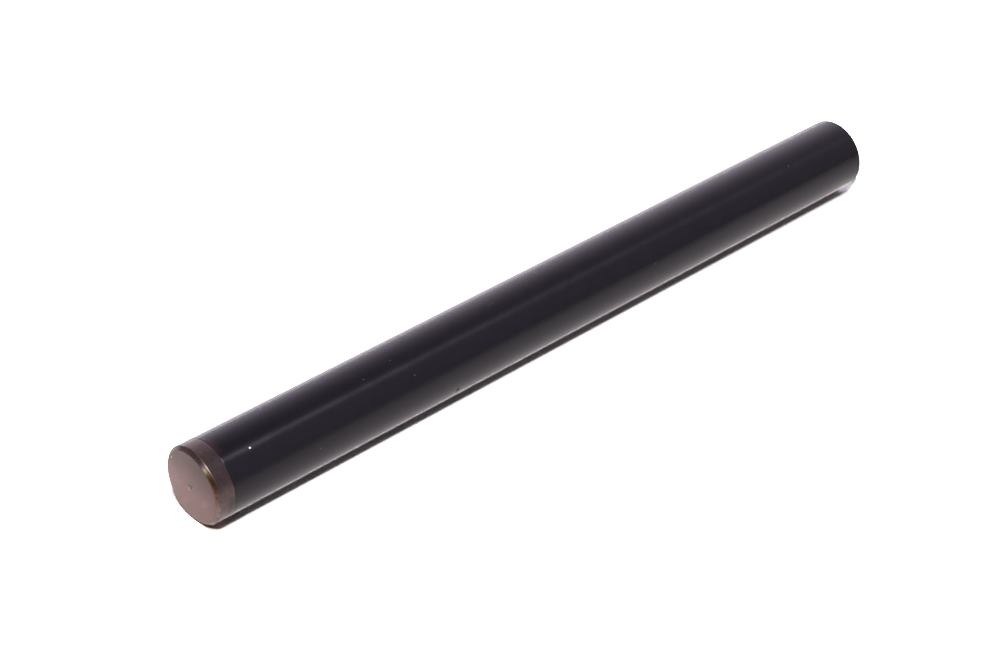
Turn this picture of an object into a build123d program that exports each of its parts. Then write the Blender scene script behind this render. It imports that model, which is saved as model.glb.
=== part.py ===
import os
from math import radians, tan

from build123d import *

# Fuel pump pushrod: a ground steel rod with a bronze button pressed into one end.
# It stands on its plain end. The axis is +Z and the bronze face is on top.

# Driving sizes of the whole rod, in millimetres
rod_diameter = 12.7
overall_length = 146.05
foot_chamfer = 0.4

# Driving sizes of the bronze tip
head_length = 3.175
face_chamfer = 0.55
centre_mark_diameter = 1.0
centre_mark_angle = 118.0
spigot_diameter = 6.35
spigot_length = 9.5
spigot_lead_chamfer = 0.5

# Driving sizes of the socket that holds the tip
socket_room = 1.5
socket_mouth_chamfer = 0.4
drill_point_angle = 118.0
press_clearance = 0.0

# Radii that follow
rod_radius = rod_diameter / 2
spigot_radius = spigot_diameter / 2
socket_radius = spigot_radius + press_clearance
centre_mark_radius = centre_mark_diameter / 2

# Heights that follow, measured up from the plain end
joint_height = overall_length - head_length
spigot_end_height = joint_height - spigot_length
socket_floor_height = spigot_end_height - socket_room


def cone_depth(radius, point_angle):
    """Depth of the cone that a drill with this point angle leaves."""
    return radius / tan(radians(point_angle / 2))


def turned(*profile):
    """A turned solid: a half section of (radius, height) points, revolved about the rod's axis."""
    with BuildPart() as solid:
        with BuildSketch(Plane.XZ):
            with BuildLine():
                Polyline(*profile, close=True)
            make_face()
        revolve(axis=Axis.Z)
    return solid.part


def make_rod_body():
    """Steel rod with a broken edge at its foot and a drilled blind socket in its top."""
    socket_point_height = socket_floor_height - cone_depth(socket_radius, drill_point_angle)
    return turned(
        (0, 0),
        (rod_radius - foot_chamfer, 0),
        (rod_radius, foot_chamfer),
        (rod_radius, joint_height),
        (socket_radius + socket_mouth_chamfer, joint_height),
        (socket_radius, joint_height - socket_mouth_chamfer),
        (socket_radius, socket_floor_height),
        (0, socket_point_height),
    )


def make_bronze_tip():
    """Bronze button: a head as wide as the rod, with its spigot pressed into the socket."""
    centre_mark_depth = cone_depth(centre_mark_radius, centre_mark_angle)
    return turned(
        (0, spigot_end_height),
        (spigot_radius - spigot_lead_chamfer, spigot_end_height),
        (spigot_radius, spigot_end_height + spigot_lead_chamfer),
        (spigot_radius, joint_height),
        (rod_radius, joint_height),
        (rod_radius, overall_length - face_chamfer),
        (rod_radius - face_chamfer, overall_length),
        (centre_mark_radius, overall_length),
        (0, overall_length - centre_mark_depth),
    )


pieces = {
    "rod_body": make_rod_body(),
    "bronze_tip": make_bronze_tip(),
}

os.makedirs("parts", exist_ok=True)
for name, piece in pieces.items():
    piece.label = name
    export_step(piece, f"parts/{name}.step")
    print(f"{name}: {piece.volume:.1f} mm3")
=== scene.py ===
import bpy, bmesh, math
from mathutils import Euler, Matrix, Vector


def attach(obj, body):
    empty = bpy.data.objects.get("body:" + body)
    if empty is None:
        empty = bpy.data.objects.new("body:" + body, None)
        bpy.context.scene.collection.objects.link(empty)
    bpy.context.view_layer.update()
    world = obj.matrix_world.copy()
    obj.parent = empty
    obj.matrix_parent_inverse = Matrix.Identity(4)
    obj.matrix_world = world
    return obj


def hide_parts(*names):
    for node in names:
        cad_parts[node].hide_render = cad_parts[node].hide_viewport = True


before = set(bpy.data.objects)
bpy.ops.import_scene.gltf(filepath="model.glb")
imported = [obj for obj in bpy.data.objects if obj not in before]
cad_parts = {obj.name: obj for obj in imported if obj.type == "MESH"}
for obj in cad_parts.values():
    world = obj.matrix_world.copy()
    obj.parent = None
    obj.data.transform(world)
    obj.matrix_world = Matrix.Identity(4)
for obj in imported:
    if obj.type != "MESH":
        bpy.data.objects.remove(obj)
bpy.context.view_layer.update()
scene = bpy.context.scene
mm = 0.001
fullTurn = 2 * math.pi
print("frame loaded:", sorted(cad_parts))


# camera: where the photograph was taken from, in millimetres and degrees
cameraValues = {
    "place": (-213.814, -193.122, 287.274),
    "turn": (-33.4129, 46.4986, 180.0),
    "sensor": 36,
    "lens": 78.72,
    "clipStart": 0.01,
    "clipEnd": 20,
}


def millimetres(values):
    return Vector(values) * mm


camera = bpy.data.objects.new("camera", bpy.data.cameras.new("camera"))
scene.collection.objects.link(camera)
camera.data.sensor_width = cameraValues["sensor"]
camera.data.lens = cameraValues["lens"]
camera.data.clip_start = cameraValues["clipStart"]
camera.data.clip_end = cameraValues["clipEnd"]
camera.location = millimetres(cameraValues["place"])
camera.rotation_euler = Euler([math.radians(angle) for angle in cameraValues["turn"]])
scene.camera = camera
print("camera placed")


# mesh helpers
cornerReach = 0.01  # a vertex this close to a named corner is on its ring, in millimetres
weldReach = 0.0005  # points closer than this are merged


def ringCorner(edge, radius, height):
    # true for an edge of the ring that runs round the axis at this radius and height
    return all(
        abs(math.hypot(v.co.x, v.co.y) / mm - radius) < cornerReach
        and abs(v.co.z / mm - height) < cornerReach
        for v in edge.verts
    )


def turnedMesh(name, profile, steps, breaks):
    # spins a half section of (radius, height) points round the axis, then rounds the named corners
    bm = bmesh.new()
    points = [bm.verts.new((radius * mm, 0, height * mm)) for radius, height in profile]
    for a, b in zip(points, points[1:]):
        bm.edges.new((a, b))
    bmesh.ops.spin(
        bm, geom=bm.verts[:] + bm.edges[:], cent=(0, 0, 0), axis=(0, 0, 1),
        angle=fullTurn, steps=steps, use_merge=True,
    )
    bmesh.ops.remove_doubles(bm, verts=bm.verts[:], dist=weldReach * mm)
    for radius, height, width in breaks:
        ring = [e for e in bm.edges if ringCorner(e, radius, height)]
        bmesh.ops.bevel(
            bm, geom=ring, offset=width * mm, offset_type="OFFSET", affect="EDGES",
            segments=3, profile=0.5, material=-1,
        )
    bmesh.ops.recalc_face_normals(bm, faces=bm.faces[:])
    mesh = bpy.data.meshes.new(name)
    bm.to_mesh(mesh)
    bm.free()
    mesh.shade_smooth()
    piece = bpy.data.objects.new(name, mesh)
    scene.collection.objects.link(piece)
    return piece


def spacedHeights(low, high, count):
    return [low + (high - low) * i / count for i in range(1, count)]


# rod body, in millimetres
rodBodyValues = {
    "radius": 6.35,
    "jointHeight": 142.875,
    "footChamfer": 0.4,
    "socketRadius": 3.175,
    "socketMouth": 0.4,
    "socketFloor": 131.875,
    "drillPoint": 118,
    "jointBreak": 0.03,
    "edgeBreak": 0.06,
    "edgeGuard": 0.25,  # a ring this far from an edge keeps the smooth shading off the flats
    "steps": 256,  # round the axis
    "rings": 24,  # along the side
}


def makeRodBody(v):
    r, top, foot = v["radius"], v["jointHeight"], v["footChamfer"]
    socket, mouth, guard = v["socketRadius"], v["socketMouth"], v["edgeGuard"]
    point = v["socketFloor"] - socket / math.tan(math.radians(v["drillPoint"] / 2))
    profile = [(0, 0), (r - foot - guard, 0), (r - foot, 0), (r, foot), (r, foot + guard)]
    profile += [(r, z) for z in spacedHeights(foot + guard, top - guard, v["rings"])]
    profile += [(r, top - guard), (r, top), (r - guard, top), (socket + mouth, top)]
    profile += [(socket, top - mouth), (socket, v["socketFloor"]), (0, point)]
    breaks = [
        (r - foot, 0, v["edgeBreak"]),
        (r, foot, v["edgeBreak"]),
        (r, top, v["jointBreak"]),
    ]
    return turnedMesh("rodBody", profile, v["steps"], breaks)


rodBody = makeRodBody(rodBodyValues)
print("rod body turned:", len(rodBody.data.polygons), "faces")


# bronze tip, in millimetres
bronzeTipValues = {
    "radius": 6.35,
    "jointHeight": 142.875,
    "faceHeight": 146.05,
    "faceChamfer": 0.55,
    "markRadius": 0.5,
    "markAngle": 118,
    "spigotRadius": 3.175,
    "spigotEnd": 133.375,
    "spigotLead": 0.5,
    "jointBreak": 0.03,
    "rimBreak": 0.085,
    "faceBreak": 0.08,
    "markBreak": 0.08,
    "edgeGuard": 0.25,
    "faceRings": (4.6, 3.4, 2.2, 1.3, 0.7),
    "steps": 256,
}


def makeBronzeTip(v):
    r, joint, top, chamfer = v["radius"], v["jointHeight"], v["faceHeight"], v["faceChamfer"]
    spigot, lead, guard, mark = v["spigotRadius"], v["spigotLead"], v["edgeGuard"], v["markRadius"]
    depth = mark / math.tan(math.radians(v["markAngle"] / 2))
    profile = [(0, v["spigotEnd"]), (spigot - lead, v["spigotEnd"]), (spigot, v["spigotEnd"] + lead)]
    profile += [(spigot, joint), (r - guard, joint), (r, joint), (r, joint + guard)]
    profile += [(r, top - chamfer - guard), (r, top - chamfer), (r - chamfer, top)]
    profile += [(r - chamfer - guard, top)]
    profile += [(ring, top) for ring in v["faceRings"]]
    profile += [(mark, top), (0, top - depth)]
    breaks = [
        (r, joint, v["jointBreak"]),
        (r, top - chamfer, v["rimBreak"]),
        (r - chamfer, top, v["faceBreak"]),
        (mark, top, v["markBreak"]),
    ]
    return turnedMesh("bronzeTip", profile, v["steps"], breaks)


bronzeTip = makeBronzeTip(bronzeTipValues)
print("bronze tip turned:", len(bronzeTip.data.polygons), "faces")


# node helpers
def newMaterial(name):
    material = bpy.data.materials.new(name)
    material.use_nodes = True
    material.node_tree.nodes.clear()
    return material, material.node_tree


def isSocket(item):
    return isinstance(item, bpy.types.NodeSocket)


def fillInput(tree, socket, item):
    # a link from another node, or a plain value
    if isSocket(item):
        tree.links.new(item, socket)
    else:
        socket.default_value = item


def addNode(tree, kind, inputs=None, **settings):
    node = tree.nodes.new(kind)
    for key, value in settings.items():
        setattr(node, key, value)
    for key, value in (inputs or {}).items():
        fillInput(tree, node.inputs[key], value)
    return node


def calc(tree, operation, a, b=0.0):
    return addNode(tree, "ShaderNodeMath", {0: a, 1: b}, operation=operation).outputs[0]


def vectorCalc(tree, operation, a, b=(0, 0, 0), output=0):
    return addNode(tree, "ShaderNodeVectorMath", {0: a, 1: b}, operation=operation).outputs[output]


def softStep(tree, value, low, high, outLow=0.0, outHigh=1.0):
    node = addNode(tree, "ShaderNodeMapRange", interpolation_type="SMOOTHSTEP")
    names = ("Value", "From Min", "From Max", "To Min", "To Max")
    for key, item in zip(names, (value, low, high, outLow, outHigh)):
        fillInput(tree, node.inputs[key], item)
    return node.outputs[0]


def mixColour(tree, factor, a, b, blend="MIX"):
    node = addNode(tree, "ShaderNodeMix", data_type="RGBA", blend_type=blend)
    fillInput(tree, node.inputs[0], factor)
    for socket, item in ((node.inputs[6], a), (node.inputs[7], b)):
        fillInput(tree, socket, item if isSocket(item) else (*item, 1))
    return node.outputs[2]


def scaleColour(tree, a, b):
    return mixColour(tree, 1.0, a, b, "MULTIPLY")


def splitPoint(tree, point):
    return addNode(tree, "ShaderNodeSeparateXYZ", {0: point}).outputs


def fromAxis(tree, point):
    # the distance from the rod's axis
    return vectorCalc(tree, "LENGTH", vectorCalc(tree, "MULTIPLY", point, (1, 1, 0)), output=1)


def millimetrePoint(tree):
    # the object's own coordinates, in millimetres
    coords = addNode(tree, "ShaderNodeTexCoord")
    return addNode(tree, "ShaderNodeMapping", {
        "Vector": coords.outputs["Object"], "Scale": (1000, 1000, 1000)}).outputs[0]


def roundFrom(tree, point, angle, reach, core):
    # a mask round the axis: 1 within the core and 0 past the reach, in degrees from this angle
    outward = vectorCalc(tree, "NORMALIZE", vectorCalc(tree, "MULTIPLY", point, (1, 1, 0)))
    a = math.radians(angle)
    facing = vectorCalc(tree, "DOT_PRODUCT", outward, (-math.sin(a), -math.cos(a), 0), output=1)
    return softStep(tree, facing, math.cos(math.radians(reach)), math.cos(math.radians(core)))


def newGroup(name, inputs, outputs):
    group = bpy.data.node_groups.new(name, "ShaderNodeTree")
    kinds = {"value": "NodeSocketFloat", "vector": "NodeSocketVector"}
    for label, kind, default in inputs:
        socket = group.interface.new_socket(label, in_out="INPUT", socket_type=kinds[kind])
        socket.default_value = default
    for label, kind in outputs:
        group.interface.new_socket(label, in_out="OUTPUT", socket_type=kinds[kind])
    start = group.nodes.new("NodeGroupInput")
    end = group.nodes.new("NodeGroupOutput")
    return group, start.outputs, end.inputs


def useGroup(tree, group, inputs):
    return addNode(tree, "ShaderNodeGroup", inputs, node_tree=group).outputs


# shared effects
def makeMarkGroup():
    # one small mark: a speck or a short scratch, with an uneven edge
    group, start, end = newGroup(
        "surfaceMark",
        [("Point", "vector", (0, 0, 0)), ("Centre", "vector", (0, 0, 0)),
         ("Direction", "vector", (0, 0, 1)), ("Half Length", "value", 0.1),
         ("Half Width", "value", 0.1), ("Ragged", "value", 0.4)],
        [("Mask", "value")],
    )
    offset = vectorCalc(group, "SUBTRACT", start["Point"], start["Centre"])
    run = vectorCalc(group, "DOT_PRODUCT", offset, start["Direction"], output=1)
    side = vectorCalc(group, "LENGTH", offset, output=1)
    across = calc(group, "SUBTRACT", calc(group, "POWER", side, 2.0), calc(group, "MULTIPLY", run, run))
    across = calc(group, "SQRT", calc(group, "MAXIMUM", across, 0.0))
    alongShare = calc(group, "DIVIDE", run, start["Half Length"])
    acrossShare = calc(group, "DIVIDE", across, start["Half Width"])
    shares = addNode(group, "ShaderNodeCombineXYZ", {0: alongShare, 1: acrossShare}).outputs[0]
    reach = vectorCalc(group, "LENGTH", shares, output=1)
    noise = addNode(group, "ShaderNodeTexNoise", {"Vector": start["Point"], "Scale": 6.0, "Detail": 2.0})
    uneven = calc(group, "MULTIPLY", calc(group, "SUBTRACT", noise.outputs[0], 0.5), start["Ragged"])
    # soft over the outer part of the mark
    mask = softStep(group, calc(group, "ADD", reach, uneven), 1.15, 0.65)
    group.links.new(mask, end["Mask"])
    return group


def makeDustGroup():
    # a few tiny grains, scattered at random
    group, start, end = newGroup(
        "scatteredDust",
        [("Point", "vector", (0, 0, 0)), ("Cells", "value", 0.4),
         ("Grain", "value", 0.05), ("Share", "value", 0.1)],
        [("Mask", "value")],
    )
    cells = addNode(group, "ShaderNodeTexVoronoi", {"Vector": start["Point"], "Scale": start["Cells"]})
    chance = addNode(group, "ShaderNodeSeparateColor", {0: cells.outputs["Color"]})
    chosen = calc(group, "LESS_THAN", chance.outputs[0], start["Share"])
    size = calc(group, "MULTIPLY", start["Grain"], calc(group, "ADD", chance.outputs[1], 0.4))
    near = calc(group, "MULTIPLY", cells.outputs["Distance"], calc(group, "DIVIDE", 1.0, start["Cells"]))
    grain = softStep(group, near, size, calc(group, "MULTIPLY", size, 0.6))
    group.links.new(calc(group, "MULTIPLY", grain, chosen), end["Mask"])
    return group


def makeMottleGroup():
    # cloudy stain over the surface, from 0 to 1
    group, start, end = newGroup(
        "mottle",
        [("Point", "vector", (0, 0, 0)), ("Scale", "value", 0.5),
         ("Low", "value", 0.35), ("High", "value", 0.65)],
        [("Value", "value")],
    )
    noise = addNode(group, "ShaderNodeTexNoise", {
        "Vector": start["Point"], "Scale": start["Scale"],
        "Detail": 4.0, "Roughness": 0.6, "Distortion": 0.4})
    group.links.new(softStep(group, noise.outputs[0], start["Low"], start["High"]), end["Value"])
    return group


def makeRoundGrainGroup():
    # fine lines that run round the axis, as grinding and turning leave them
    group, start, end = newGroup(
        "roundGrain",
        [("Point", "vector", (0, 0, 0)), ("Fineness", "value", 8.0), ("Waver", "value", 0.05)],
        [("Height", "value")],
    )
    x, y, z = splitPoint(group, start["Point"])
    radius = fromAxis(group, start["Point"])
    lines = addNode(group, "ShaderNodeCombineXYZ", {
        0: calc(group, "MULTIPLY", x, start["Waver"]),
        1: calc(group, "MULTIPLY", y, start["Waver"]),
        2: calc(group, "ADD", z, radius)})
    noise = addNode(group, "ShaderNodeTexNoise", {
        "Vector": lines.outputs[0], "Scale": start["Fineness"], "Detail": 3.0, "Roughness": 0.6})
    group.links.new(noise.outputs[0], end["Height"])
    return group


markGroup = makeMarkGroup()
dustGroup = makeDustGroup()
mottleGroup = makeMottleGroup()
roundGrainGroup = makeRoundGrainGroup()
grainDepth = 0.0002  # metres
grainTurn = 0.25  # of a full turn, so that the gloss runs across the grain


def grainNormal(tree, point, v):
    grain = useGroup(tree, roundGrainGroup, {"Point": point, **v["grain"]})["Height"]
    return addNode(tree, "ShaderNodeBump", {
        "Strength": v["grainBump"], "Distance": grainDepth, "Height": grain}).outputs[0]


def mottleValue(tree, point, values):
    return useGroup(tree, mottleGroup, {"Point": point, **values})["Value"]


print("shared effects made")


# black oxide on the ground steel
blackOxideValues = {
    "base": (0.0026, 0.0026, 0.004),
    "ior": 1.52,
    "tint": (0.97, 0.86, 1.0, 1),
    "cloud": {"Scale": 0.35, "Low": 0.3, "High": 0.7},
    "cloudDark": 0.8,
    "cloudLight": 1.25,
    "roughnessSwing": 0.015,
    "grain": {"Fineness": 9.0, "Waver": 0.03},
    "grainBump": 0.02,
    "fineDust": {"Cells": 0.22, "Grain": 0.09, "Share": 0.10},
    "fineDustShare": 0.35,
    "dustColour": (0.75, 0.73, 0.72),
    "faintShare": 0.12,
    "scratchColour": (0.045, 0.042, 0.046),
    "dirtColour": (0.001, 0.001, 0.001),
    "markRoughness": 0.5,
    # the smear of bronze: its length down the rod, then angle, reach and core round it
    "smear": (0.028, 0.014, 0.011),
    "smearShare": 0.6,
    "smearLength": 1.6,
    "smearAngles": (8, 24, 4),
    # the corner at the joint is duller, from and to these distances below it
    "matt": 0.25,
    "mattFrom": 0.08,
    "mattTo": 0.03,
    "ragged": 0.5,
    "scratchRagged": 0.2,
}
# ground side of the rod, and its faced plain end
sideFinish = {"roughness": 0.2, "anisotropy": 0.96}
endFinish = {"roughness": 0.34, "anisotropy": 0.3}
# each mark: angle round the rod, distance from the tip's face, half length and half width,
# and for a scratch its slant, in degrees and millimetres
dustMarks = [(37.6, 8.1, 0.19, 0.15)]
faintMarks = [
    (53, 38.9, 0.12, 0.10), (84.5, 19.1, 0.12, 0.10), (25.5, 30.7, 0.10, 0.10),
    (18, 36.7, 0.10, 0.08), (72.8, 91.7, 0.14, 0.12), (33, 128.6, 0.13, 0.12),
]
scratchMarks = [
    (10.8, 58.5, 0.9, 0.05, 10), (-2, 87, 1.1, 0.05, 50),
    (-3, 41.4, 0.8, 0.05, 20), (96, 58.7, 0.9, 0.05, 5),
]
dirtMarks = [(111.8, 47, 0.32, 0.42)]


def rodPoint(angle, fromTip):
    a = math.radians(angle)
    r = rodBodyValues["radius"]
    return (-r * math.sin(a), -r * math.cos(a), bronzeTipValues["faceHeight"] - fromTip)


def rodDirection(angle, slant):
    # a direction on the rod's side, turned by the slant away from the axis
    a, s = math.radians(angle), math.radians(slant)
    return (-math.cos(a) * math.sin(s), math.sin(a) * math.sin(s), math.cos(s))


def joinMasks(tree, masks):
    total = masks[0]
    for mask in masks[1:]:
        total = calc(tree, "MAXIMUM", total, mask)
    return total


def markMask(tree, point, ragged, angle, fromTip, halfLength, halfWidth, slant=0):
    return useGroup(tree, markGroup, {
        "Point": point, "Centre": rodPoint(angle, fromTip), "Direction": rodDirection(angle, slant),
        "Half Length": halfLength, "Half Width": halfWidth, "Ragged": ragged})["Mask"]


def marksMask(tree, point, marks, ragged):
    return joinMasks(tree, [markMask(tree, point, ragged, *mark) for mark in marks])


def makeBlackOxide(name, v, finish):
    material, tree = newMaterial(name)
    point = millimetrePoint(tree)
    dust = marksMask(tree, point, dustMarks, v["ragged"])
    faint = marksMask(tree, point, faintMarks, v["ragged"])
    scratch = marksMask(tree, point, scratchMarks, v["scratchRagged"])
    dirt = marksMask(tree, point, dirtMarks, v["ragged"])
    fineDust = useGroup(tree, dustGroup, {"Point": point, **v["fineDust"]})["Mask"]
    cloud = mottleValue(tree, point, v["cloud"])
    base = mixColour(
        tree, cloud,
        [c * v["cloudDark"] for c in v["base"]],
        [c * v["cloudLight"] for c in v["base"]],
    )
    base = mixColour(tree, calc(tree, "MULTIPLY", fineDust, v["fineDustShare"]), base, v["scratchColour"])
    base = mixColour(tree, calc(tree, "MULTIPLY", faint, v["faintShare"]), base, v["dustColour"])
    base = mixColour(tree, scratch, base, v["scratchColour"])
    base = mixColour(tree, dirt, base, v["dirtColour"])
    base = mixColour(tree, dust, base, v["dustColour"])
    # a little bronze is smeared over the joint
    height = splitPoint(tree, point)[2]
    joint = rodBodyValues["jointHeight"]
    smear = softStep(tree, height, joint - v["smearLength"], joint)
    smear = calc(tree, "MULTIPLY", smear, roundFrom(tree, point, *v["smearAngles"]))
    base = mixColour(tree, calc(tree, "MULTIPLY", smear, v["smearShare"]), base, v["smear"])
    swing = calc(tree, "MULTIPLY", calc(tree, "SUBTRACT", cloud, 0.5), v["roughnessSwing"])
    marked = calc(tree, "MULTIPLY", joinMasks(tree, [dust, dirt, scratch]), v["markRoughness"])
    atJoint = softStep(tree, height, joint - v["mattFrom"], joint - v["mattTo"], 0.0, v["matt"])
    roughness = calc(tree, "ADD", finish["roughness"], swing)
    roughness = calc(tree, "ADD", roughness, marked)
    roughness = calc(tree, "ADD", roughness, atJoint)
    shader = addNode(tree, "ShaderNodeBsdfPrincipled", {
        "Base Color": base, "Roughness": roughness, "IOR": v["ior"], "Specular Tint": v["tint"],
        "Anisotropic": finish["anisotropy"], "Anisotropic Rotation": grainTurn,
        "Normal": grainNormal(tree, point, v)})
    addNode(tree, "ShaderNodeOutputMaterial", {"Surface": shader.outputs[0]})
    return material


rodBody.data.materials.append(makeBlackOxide("blackOxide", blackOxideValues, sideFinish))
rodBody.data.materials.append(makeBlackOxide("blackOxideEnd", blackOxideValues, endFinish))
for face in rodBody.data.polygons:
    if face.center.z / mm < rodBodyValues["footChamfer"]:
        face.material_index = 1
print("black oxide made")


# dulled bronze on the face and the band
dulledBronzeValues = {
    "face": (0.274, 0.172, 0.167),
    "facePink": (0.288, 0.172, 0.166),
    "faceGrey": (0.235, 0.172, 0.157),
    "broadMottle": {"Scale": 0.4, "Low": 0.38, "High": 0.62},
    "fineMottle": {"Scale": 1.6, "Low": 0.3, "High": 0.7},
    "fineShare": 0.5,
    # painted shade: the face is darker on one side, and the slope makes it lighter along x
    "facePaintedShade": (0.5, 0.53, 0.53),
    "shadeFrom": -5.5,
    "shadeTo": 2.5,
    "paintedSlope": 0.025,
    "pipMark": (0.17, 0.145, 0.135),
    "pipOuter": 0.5,
    "pipInner": 0.35,
    "worn": (0.42, 0.32, 0.305),
    "wornShare": 0.13,
    "glintShare": 0.5,
    "speckColour": (0.62, 0.5, 0.46),
    "stain": (0.12, 0.085, 0.08),
    "markRun": (0.7, 0.7, 0),
    "markRagged": 1.3,
    "band": (0.178, 0.131, 0.127),
    "bandDark": (0.142, 0.104, 0.1),
    # painted shade: two patches of the band are darker too, one across the lamp's highlight and one low
    # down near the joint: angle, reach and core
    "bandShade": (0.62, 0.62, 0.62),
    "bandShadeAngles": (43, 32, 6),
    "lowShadeAngles": (106, 24, 10),
    "lowShadeFrom": 2.0,
    "lowShadeTo": 0.8,
    # the band turns into the face over these depths below it, and all is face within this radius
    "faceStart": 0.08,
    "faceFull": 0.01,
    "middleOuter": 2.0,
    "middleInner": 1.5,
    "faceRoughness": 0.48,
    "pipRoughness": 0.35,
    "bandRoughness": 0.36,
    "anisotropy": 0.1,
    "grain": {"Fineness": 6.0, "Waver": 0.02},
    "grainBump": 0.08,
}
# each mark: place on the face, then half length and half width, in millimetres
# a small bright speck near the face's edge
faceSpecks = [(4.37, -3.13, 0.16, 0.13)]
# painted highlight: a lighter glint beside the centre mark
faceGlints = [(0.62, 0.66, 0.42, 0.3)]
faceWear = [(-3.1, 1.5, 1.4, 0.6), (3.1, 0.75, 1.0, 0.5), (2.0, 3.6, 1.5, 0.6)]
faceStains = [(-3.96, 4.15, 0.22, 0.12)]


def faceMask(tree, point, marks, v):
    masks = []
    for x, y, halfLength, halfWidth in marks:
        masks.append(useGroup(tree, markGroup, {
            "Point": point, "Centre": (x, y, bronzeTipValues["faceHeight"]), "Direction": v["markRun"],
            "Half Length": halfLength, "Half Width": halfWidth, "Ragged": v["markRagged"]})["Mask"])
    return joinMasks(tree, masks)


def bronzeFace(tree, point, x, y, inPip, fine, v):
    broad = mottleValue(tree, point, v["broadMottle"])
    face = mixColour(tree, broad, v["faceGrey"], v["facePink"])
    face = mixColour(tree, calc(tree, "MULTIPLY", fine, v["fineShare"]), face, v["face"])
    shade = softStep(tree, y, v["shadeFrom"], v["shadeTo"])
    # painted shade: darker on one side and lighter along x
    face = scaleColour(tree, face, mixColour(tree, shade, v["facePaintedShade"], (1.0, 1.0, 1.0)))
    face = scaleColour(tree, face, calc(tree, "ADD", calc(tree, "MULTIPLY", x, v["paintedSlope"]), 1.0))
    worn = calc(tree, "MULTIPLY", faceMask(tree, point, faceWear, v), v["wornShare"])
    # painted highlight beside the centre mark, mixed in as the worn patches are
    glint = calc(tree, "MULTIPLY", faceMask(tree, point, faceGlints, v), v["glintShare"])
    face = mixColour(tree, calc(tree, "MAXIMUM", worn, glint), face, v["worn"])
    face = mixColour(tree, inPip, face, v["pipMark"])
    # the small bright speck near the face's edge
    face = mixColour(tree, faceMask(tree, point, faceSpecks, v), face, v["speckColour"])
    return mixColour(tree, faceMask(tree, point, faceStains, v), face, v["stain"])


def bronzeBand(tree, point, z, fine, v):
    joint = bronzeTipValues["jointHeight"]
    band = mixColour(tree, fine, v["band"], v["bandDark"])
    # painted shade on two patches of the band
    bandShade = roundFrom(tree, point, *v["bandShadeAngles"])
    low = calc(tree, "MULTIPLY", roundFrom(tree, point, *v["lowShadeAngles"]),
               softStep(tree, z, joint + v["lowShadeFrom"], joint + v["lowShadeTo"]))
    bandShade = calc(tree, "MAXIMUM", bandShade, low)
    return scaleColour(tree, band, mixColour(tree, bandShade, (1.0, 1.0, 1.0), v["bandShade"]))


def makeDulledBronze(v):
    material, tree = newMaterial("dulledBronze")
    point = millimetrePoint(tree)
    x, y, z = splitPoint(tree, point)
    top = bronzeTipValues["faceHeight"]
    radius = fromAxis(tree, point)
    onFace = calc(
        tree, "MAXIMUM",
        softStep(tree, z, top - v["faceStart"], top - v["faceFull"]),
        softStep(tree, radius, v["middleOuter"], v["middleInner"]),
    )
    inPip = softStep(tree, radius, v["pipOuter"], v["pipInner"])
    fine = mottleValue(tree, point, v["fineMottle"])
    face = bronzeFace(tree, point, x, y, inPip, fine, v)
    metal = mixColour(tree, onFace, bronzeBand(tree, point, z, fine, v), face)
    roughness = softStep(tree, onFace, 0.0, 1.0, v["bandRoughness"], v["faceRoughness"])
    roughness = softStep(tree, inPip, 0.0, 1.0, roughness, v["pipRoughness"])
    shader = addNode(tree, "ShaderNodeBsdfPrincipled", {
        "Base Color": metal, "Metallic": 1.0, "Roughness": roughness,
        "Anisotropic": v["anisotropy"], "Anisotropic Rotation": grainTurn,
        "Normal": grainNormal(tree, point, v)})
    addNode(tree, "ShaderNodeOutputMaterial", {"Surface": shader.outputs[0]})
    return material


bronzeTip.data.materials.append(makeDulledBronze(dulledBronzeValues))
print("dulled bronze made")


# turned chamfer, with the tool's fine rings still on it
turnedChamferValues = {
    "mauve": (0.117, 0.08, 0.07),
    # the colour changes round the chamfer, with the angle, reach and core of each: partly tarnish, partly
    # painted light, lighter and more silver low down where it mirrors the board
    "mauveLight": (0.165, 0.116, 0.1),
    "mauveLightAngles": (4, 24, 9),
    "brown": (0.15, 0.078, 0.04),
    "brownAngles": (60, 30, 12),
    "side": (0.18, 0.118, 0.102),
    "sideAngles": (115, 52, 38),
    "silver": (0.25, 0.19, 0.183),
    "silverAngles": (125, 42, 25),
    "silverLow": (0.18, 0.14, 0.13),
    "silverLowAngles": (135, 24, 12),
    # painted highlight: the lamp's glint across the chamfer, brighter towards the face
    "paintedGlint": (0.16, 0.14, 0.08),
    "paintedGlintLow": (0.06, 0.045, 0.03),
    "paintedGlintFrom": 0.45,
    "paintedGlintTo": 0.1,
    "paintedGlintAngles": (38.5, 7, 2.5),
    # a copper line along part of its inner edge
    "edge": (0.28, 0.14, 0.1),
    "edgeFrom": 0.16,
    "edgeTo": 0.08,
    "edgeAngles": (85, 35, 25),
    "mottle": {"Scale": 2.2, "Low": 0.3, "High": 0.7},
    "mottleDark": 0.8,
    "mottleLight": 1.2,
    "roughness": 0.41,
    "anisotropy": 0.86,
}


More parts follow.
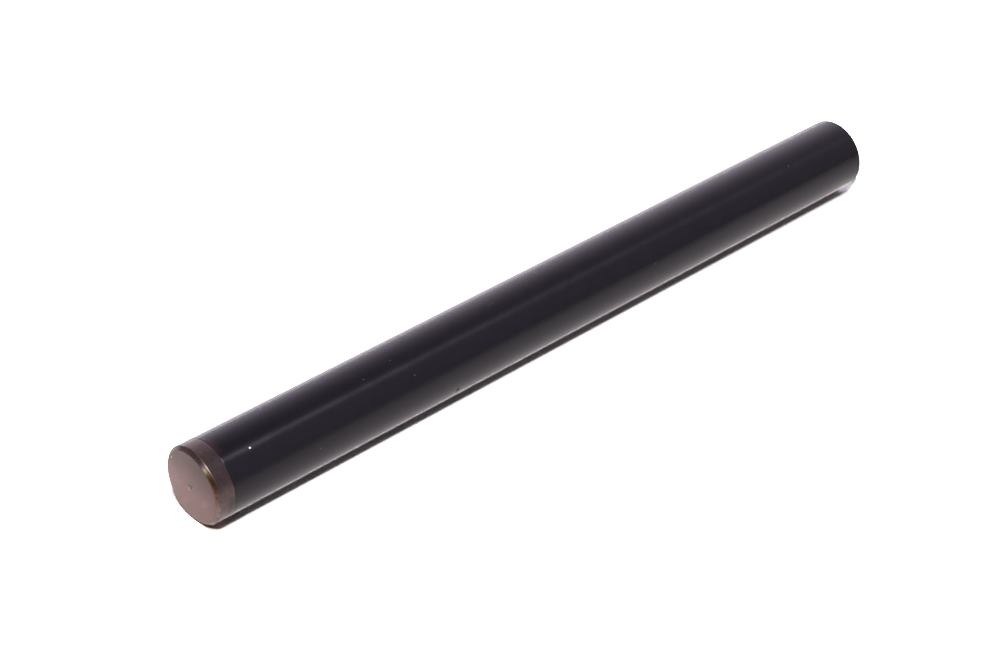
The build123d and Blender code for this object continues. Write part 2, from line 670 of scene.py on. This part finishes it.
def makeTurnedChamfer(v):
    material, tree = newMaterial("turnedChamfer")
    point = millimetrePoint(tree)
    height = splitPoint(tree, point)[2]
    top = bronzeTipValues["faceHeight"]
    metal = v["mauve"]
    # tarnish tones with painted light round the chamfer
    for colour in ("mauveLight", "brown", "side", "silver", "silverLow"):
        metal = mixColour(tree, roundFrom(tree, point, *v[colour + "Angles"]), metal, v[colour])
    # painted highlight of the lamp across the chamfer
    inner = softStep(tree, height, top - v["paintedGlintFrom"], top - v["paintedGlintTo"])
    paintedGlint = mixColour(tree, inner, v["paintedGlintLow"], v["paintedGlint"])
    metal = mixColour(tree, roundFrom(tree, point, *v["paintedGlintAngles"]), metal, paintedGlint)
    line = softStep(tree, height, top - v["edgeFrom"], top - v["edgeTo"])
    line = calc(tree, "MULTIPLY", roundFrom(tree, point, *v["edgeAngles"]), line)
    metal = mixColour(tree, line, metal, v["edge"])
    mottle = mottleValue(tree, point, v["mottle"])
    metal = scaleColour(tree, metal, softStep(tree, mottle, 0.0, 1.0, v["mottleDark"], v["mottleLight"]))
    shader = addNode(tree, "ShaderNodeBsdfPrincipled", {
        "Base Color": metal, "Metallic": 1.0, "Roughness": v["roughness"],
        "Anisotropic": v["anisotropy"], "Anisotropic Rotation": grainTurn})
    addNode(tree, "ShaderNodeOutputMaterial", {"Surface": shader.outputs[0]})
    return material


def onChamfer(face, v):
    # the chamfer with a part of its two rounded edges
    low = v["faceHeight"] - v["faceChamfer"] + 0.3 * v["rimBreak"]
    high = v["faceHeight"] - 0.25 * v["faceBreak"]
    outside = face.center.xy.length > v["spigotRadius"] * mm
    return outside and low < face.center.z / mm < high


bronzeTip.data.materials.append(makeTurnedChamfer(turnedChamferValues))
for face in bronzeTip.data.polygons:
    if onChamfer(face, bronzeTipValues):
        face.material_index = 1
print("turned chamfer made")


# what stands for what
for piece, node, slot in ((rodBody, "rod_body", "rod"), (bronzeTip, "bronze_tip", "tip")):
    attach(piece, "root")
    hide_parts(node)


# lamp, in millimetres and watts
lampValues = {"place": (-140, -300, 250), "aim": (0, 0, 100), "size": 60, "power": 1.6}
lamp = bpy.data.objects.new("lamp", bpy.data.lights.new("lamp", "AREA"))
scene.collection.objects.link(lamp)
lamp.data.shape = "DISK"
lamp.data.size = lampValues["size"] * mm
lamp.data.energy = lampValues["power"]
lampPlace, lampAim = millimetres(lampValues["place"]), millimetres(lampValues["aim"])
lamp.location = lampPlace
lamp.rotation_mode = "QUATERNION"
lamp.rotation_quaternion = (lampAim - lampPlace).to_track_quat("-Z", "Y")
lamp.visible_camera = False
print("lamp placed")


# floor and board; the board is the white table top, which the rod touches with its side
stageValues = {
    "size": 1.6,  # metres, from the middle to each edge
    "floorGap": 0.05,  # millimetres below the foot
    "white": 0.88,
}
# the paper to the camera, by distance from the axis, height up the rod or side towards the board,
# in millimetres, each pair from where a change starts to where it is complete
paperSeenValues = {
    # close to the rod it is true to the light, so that the shadow stays, and further off it is white
    "near": (1.08, 0.94, 0.87),
    "edge": (1.42, 1.45, 1.36),
    "edgeDistance": (6.6, 7.7),
    "far": (2.6, 2.6, 2.6),
    "farDistance": (7, 14),
    "falloff": 120,
    "whiteFrom": 145.6,
    "whiteTo": 146.3,
    # painted light: the paper is lighter under the foot's end, first on the board and then on the floor
    "foot": (6.0, 6.0, 6.0),
    "footDeep": (3.0, 3.0, 3.0),
    "footEdge": (1.6, 1.6, 1.6),
    "footHeight": (2.3, 0),
    "footSide": (6.35, 5.5),
    "deepSide": (5.5, 4),
    "footEdgeDistance": (7.1, 7.7),
    "footCloser": 0.4,
    "closerSide": (6.3, 5.7),
    "behindSide": (3.5, 2),
    # painted shade: the paper is darker under the bronze
    "tipShade": (0.75, 0.7, 0.66),
    "tipHeight": (137, 144),
    "tipDistance": (8.2, 7),
    # and painted light past its end, beside the axis on the side away from the lamp
    "pastTip": (2.7, 2.4, 2.38),
    "pastTipHeight": (140.5, 144.5),
    "besideFrom": (-2, -0.6),
    "besideTo": (8.5, 5.5),
    "besideFade": 1.2,
}
# painted reflection: the paper's colour in the rod's mirror stands in for its light
# the paper in the rod's mirror: evenly lit, dimmer away from the rod on the camera's side
# and brighter on the other
paperMirroredValues = {
    "cameraSide": (1.22, 1.18, 1.16),
    "dimming": 0.14,
    "dimmingFrom": 3.0,
    "dimmingTo": 100.0,
    "otherSide": (1.5, 1.5, 1.5),
    "otherAcross": (5, 20),
    # painted reflection, brighter close to the line that the rod touches
    "closeGain": 9.5,
    "closeAcross": (-4.45, -3.5),
    "closeHeight": (146, 141),
    # a little painted light from under the foot
    "footGlow": 0.2,
    "glowAcross": (12, 5),
    "glowHeight": (5.5, -1),
    # the lamp's own light on the paper is evened out with its distance, up to a limit on each side
    "lampDistance": 360,
    "lampPower": 3.0,
    "nearReach": 1.6,
    "farReach": 3.0,
    "reachAcross": (0, 1),
}


def makePlane(name, right, up, place, size):
    bm = bmesh.new()
    bmesh.ops.create_grid(bm, x_segments=1, y_segments=1, size=size)
    turn = Matrix((right, up, Vector(right).cross(Vector(up)))).transposed().to_4x4()
    bmesh.ops.transform(bm, matrix=Matrix.Translation(place) @ turn, verts=bm.verts[:])
    mesh = bpy.data.meshes.new(name)
    bm.to_mesh(mesh)
    bm.free()
    plane = bpy.data.objects.new(name, mesh)
    scene.collection.objects.link(plane)
    return plane


def paperSeen(tree, point, v):
    across, side, height = splitPoint(tree, point)
    distance = fromAxis(tree, point)
    beside = calc(tree, "MULTIPLY", softStep(tree, across, *v["besideFrom"]),
                  softStep(tree, across, *v["besideTo"]))
    whiteTo = calc(tree, "ADD", v["whiteTo"], calc(tree, "MULTIPLY", beside, v["besideFade"]))
    away = calc(tree, "MAXIMUM", softStep(tree, distance, *v["farDistance"]),
                softStep(tree, height, v["whiteFrom"], whiteTo))
    near = mixColour(tree, softStep(tree, distance, *v["edgeDistance"]), v["near"], v["edge"])
    # painted light under the foot
    deep = mixColour(tree, softStep(tree, side, *v["deepSide"]), v["footDeep"], v["edge"])
    foot = mixColour(tree, softStep(tree, side, *v["footSide"]), v["foot"], deep)
    closer = softStep(tree, side, *v["closerSide"], 0.0, v["footCloser"])
    atEdge = softStep(tree, calc(tree, "ADD", distance, closer), *v["footEdgeDistance"])
    foot = mixColour(tree, atEdge, foot, v["footEdge"])
    foot = mixColour(tree, softStep(tree, side, *v["behindSide"]), foot, v["foot"])
    near = mixColour(tree, softStep(tree, height, *v["footHeight"]), near, foot)
    # painted shade under the bronze, and painted light past its end
    underTip = calc(tree, "MULTIPLY", softStep(tree, height, *v["tipHeight"]),
                    softStep(tree, distance, *v["tipDistance"]))
    near = mixColour(tree, underTip, near, scaleColour(tree, near, v["tipShade"]))
    pastTip = calc(tree, "MULTIPLY", beside, softStep(tree, height, *v["pastTipHeight"]))
    near = mixColour(tree, pastTip, near, v["pastTip"])
    # the light falls off, but the backdrop stays white
    further = calc(tree, "POWER", calc(tree, "DIVIDE", distance, v["falloff"]), 2.0)
    far = scaleColour(tree, v["far"], calc(tree, "ADD", further, 1.0))
    return mixColour(tree, away, near, far)


def paperMirrored(tree, point, v):
    parts = splitPoint(tree, point)
    across, height = parts[0], parts[2]
    sideways = calc(tree, "ABSOLUTE", across)
    reach = calc(tree, "MAXIMUM", sideways, v["dimmingFrom"])
    reach = calc(tree, "MINIMUM", reach, v["dimmingTo"])
    dimming = calc(tree, "MULTIPLY", calc(tree, "LOGARITHM", reach, math.e), v["dimming"])
    level = calc(tree, "SUBTRACT", 1.0, dimming)
    # painted reflection: brighter close to where the rod touches the board
    close = calc(tree, "MULTIPLY", softStep(tree, across, *v["closeAcross"], 0.0, v["closeGain"]),
                 softStep(tree, height, *v["closeHeight"]))
    level = calc(tree, "ADD", level, close)
    cameraSide = scaleColour(tree, v["cameraSide"], level)
    otherSide = mixColour(tree, softStep(tree, across, *v["otherAcross"]), (1.0, 1.0, 1.0), v["otherSide"])
    mirrored = mixColour(tree, calc(tree, "GREATER_THAN", across, 0.0), cameraSide, otherSide)
    # a little painted light from under the foot
    glow = calc(tree, "MULTIPLY", softStep(tree, sideways, *v["glowAcross"], 0.0, v["footGlow"]),
                softStep(tree, height, *v["glowHeight"]))
    mirrored = scaleColour(tree, mirrored, calc(tree, "ADD", glow, 1.0))
    lampAway = vectorCalc(tree, "DISTANCE", point, lampValues["place"], output=1)
    limit = softStep(tree, across, *v["reachAcross"], v["nearReach"], v["farReach"])
    lampAway = calc(tree, "MINIMUM", calc(tree, "DIVIDE", lampAway, v["lampDistance"]), limit)
    return scaleColour(tree, mirrored, calc(tree, "POWER", lampAway, v["lampPower"]))


def makeWhitePaper(v):
    # seen from behind, the paper is clear
    material, tree = newMaterial("whitePaper")
    point = millimetrePoint(tree)
    path = addNode(tree, "ShaderNodeLightPath").outputs
    plain = (v["white"],) * 3
    colour = mixColour(tree, path["Is Glossy Ray"], plain, paperMirrored(tree, point, paperMirroredValues))
    colour = mixColour(tree, path["Is Camera Ray"], colour, paperSeen(tree, point, paperSeenValues))
    diffuse = addNode(tree, "ShaderNodeBsdfDiffuse", {"Color": colour})
    clear = addNode(tree, "ShaderNodeBsdfTransparent")
    back = addNode(tree, "ShaderNodeNewGeometry").outputs["Backfacing"]
    shader = addNode(tree, "ShaderNodeMixShader", {0: back, 1: diffuse.outputs[0], 2: clear.outputs[0]})
    addNode(tree, "ShaderNodeOutputMaterial", {"Surface": shader.outputs[0]})
    return material


whitePaper = makeWhitePaper(stageValues)
boardPlace = millimetres((0, rodBodyValues["radius"], 0))
floorPlace = millimetres((0, 0, -stageValues["floorGap"]))
board = makePlane("board", (1, 0, 0), (0, 0, 1), boardPlace, stageValues["size"])
board.data.materials.append(whitePaper)
board.visible_shadow = False
floor = makePlane("floor", (1, 0, 0), (0, 1, 0), floorPlace, stageValues["size"])
floor.data.materials.append(whitePaper)
floor.visible_diffuse = False
floor.visible_glossy = False
floor.visible_transmission = False
floor.visible_shadow = False
print("floor and board made")


# world
worldValues = {
    "base": 0.03,
    # soft areas of light: direction, angles at which each starts and is full, and its level
    "areas": [
        ((0.5422, 0.1698, -0.8229), 76.0, 23.0, 1.48),
        ((-0.7426, -0.6121, 0.272), 110.0, 27.5, 0.48),
        ((-0.1, -0.92, -0.38), 35.0, 0.0, -0.12),
    ],
    # the dim room above, and the heights between which it takes over
    "upper": 0.2,
    "upperFrom": 0.0,
    "upperTo": 0.12,
    "diffuseShare": 0.16,
    "tint": (0.998, 0.905, 1.055),
}


def mixLevel(tree, factor, a, b):
    return addNode(tree, "ShaderNodeMix", {0: factor, 2: a, 3: b}).outputs[0]


def makeWorld(v):
    # soft light from low down, a dim room above, and white wherever the camera sees past everything
    world = bpy.data.worlds.new("studio")
    scene.world = world
    world.use_nodes = True
    tree = world.node_tree
    tree.nodes.clear()
    direction = addNode(tree, "ShaderNodeTexCoord").outputs["Generated"]
    path = addNode(tree, "ShaderNodeLightPath").outputs
    lower = v["base"]
    for middle, start, full, level in v["areas"]:
        facing = vectorCalc(tree, "DOT_PRODUCT", direction, middle, output=1)
        angle = calc(tree, "DEGREES", calc(tree, "ARCCOSINE", facing))
        lower = calc(tree, "ADD", lower, softStep(tree, angle, start, full, 0.0, level))
    above = softStep(tree, splitPoint(tree, direction)[2], v["upperFrom"], v["upperTo"])
    level = mixLevel(tree, above, lower, v["upper"])
    level = mixLevel(tree, path["Is Diffuse Ray"], level, calc(tree, "MULTIPLY", level, v["diffuseShare"]))
    level = mixLevel(tree, path["Is Camera Ray"], level, 1.0)
    tint = mixColour(tree, path["Is Camera Ray"], v["tint"], (1.0, 1.0, 1.0))
    shader = addNode(tree, "ShaderNodeBackground", {"Color": tint, "Strength": level})
    addNode(tree, "ShaderNodeOutputWorld", {"Surface": shader.outputs[0]})


makeWorld(worldValues)
print("world made")


# end
scene.view_settings.view_transform = "Standard"
